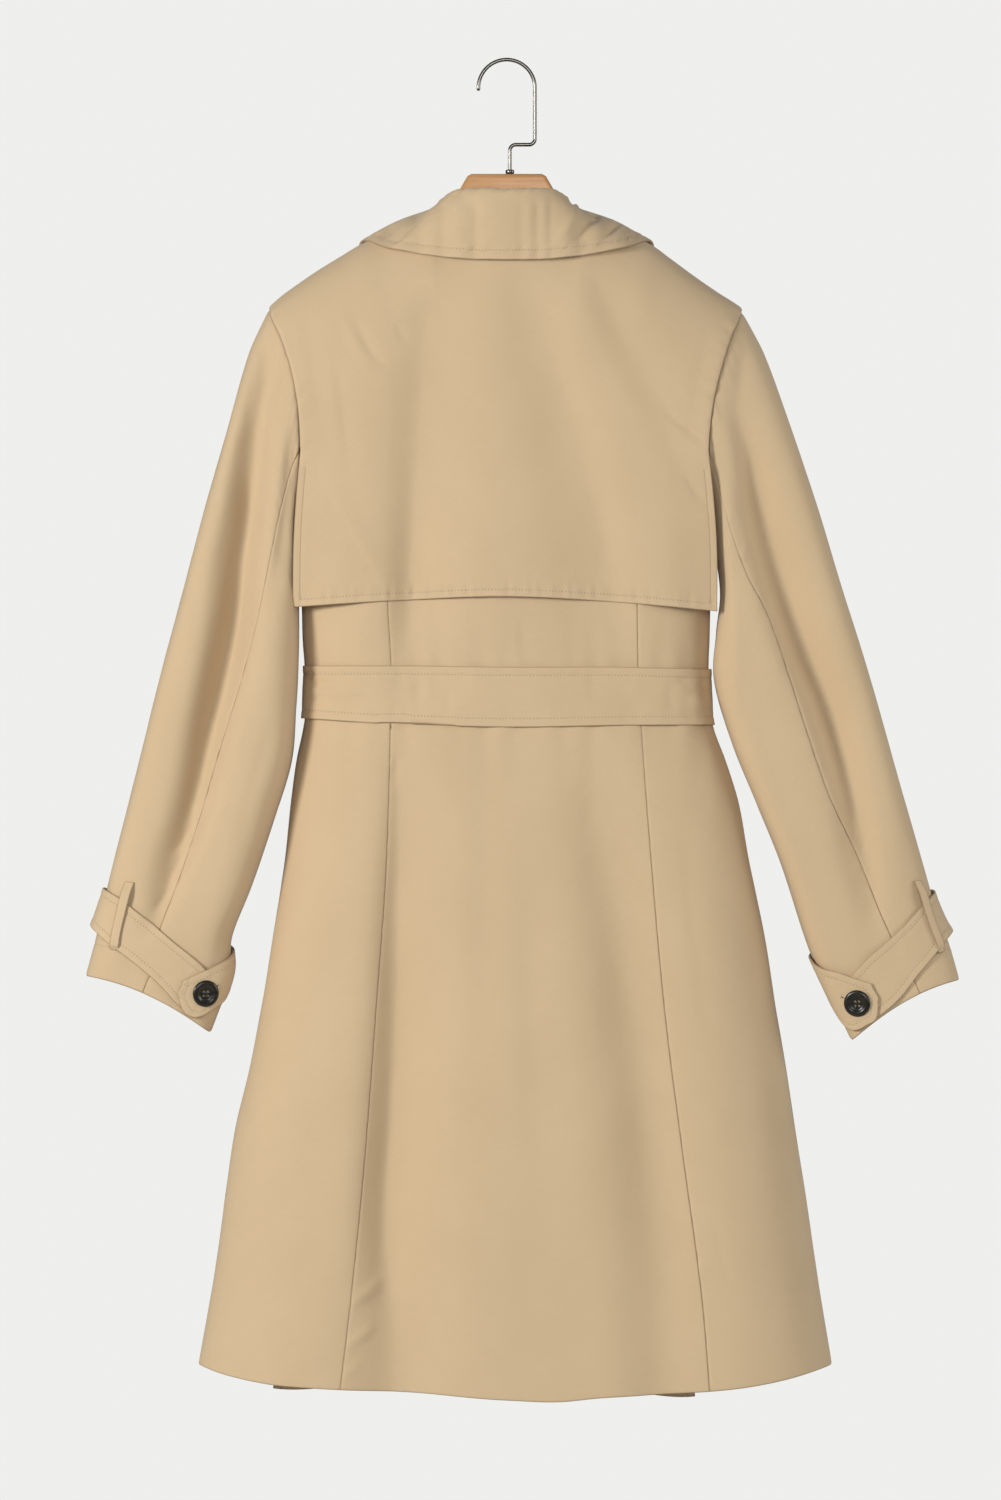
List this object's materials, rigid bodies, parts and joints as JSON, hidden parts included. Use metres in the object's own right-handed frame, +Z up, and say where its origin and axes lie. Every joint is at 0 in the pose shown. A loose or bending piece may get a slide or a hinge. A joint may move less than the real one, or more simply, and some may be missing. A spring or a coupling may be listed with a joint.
{
  "type": "trench coat on clothes hanger",
  "caption": "Belted trench coat hung on a wooden clothes hanger by its bent wire hook, back outwards, with a storm flap, turned-down collar and buttoned cuff straps.",
  "frame": {"origin": "under the wire at the top of the hook's arc, where the hook rests on what carries it", "axes": "+Z up, +X to the wearer's right, the coat's back faces -Y and its fronts +Y"},
  "size_m": [0.7433, 0.15, 1.1413],
  "materials": {
    "coat_cloth": "smooth twill, soft sheen",
    "beech": "satin varnish",
    "hook_steel": "plated, bright",
    "button": "polished"
  },
  "bodies": {
    "root": {"back_centre_bodice": "coat_cloth", "back_centre_skirt": "coat_cloth", "back_side_left_bodice": "coat_cloth", "back_side_left_skirt": "coat_cloth", "back_side_right_bodice": "coat_cloth", "back_side_right_skirt": "coat_cloth", "belt": "coat_cloth", "collar_fall": "coat_cloth", "collar_stand": "coat_cloth", "cuff_button_left": "button", "cuff_button_right": "button", "cuff_strap_left": "coat_cloth", "cuff_strap_right": "coat_cloth", "front_left_bodice": "coat_cloth", "front_left_skirt": "coat_cloth", "front_right_bodice": "coat_cloth", "front_right_skirt": "coat_cloth", "hanger_bar": "beech", "hanger_hook": "hook_steel", "hook_ferrule": "hook_steel", "lapel_left": "coat_cloth", "lapel_right": "coat_cloth", "sleeve_under_left": "coat_cloth", "sleeve_under_right": "coat_cloth", "sleeve_upper_left_back": "coat_cloth", "sleeve_upper_left_back_low": "coat_cloth", "sleeve_upper_left_front": "coat_cloth", "sleeve_upper_left_front_low": "coat_cloth", "sleeve_upper_right_back": "coat_cloth", "sleeve_upper_right_back_low": "coat_cloth", "sleeve_upper_right_front": "coat_cloth", "sleeve_upper_right_front_low": "coat_cloth", "storm_flap": "coat_cloth", "strap_carrier_left": "coat_cloth", "strap_carrier_right": "coat_cloth"}
  },
  "joints": []
}
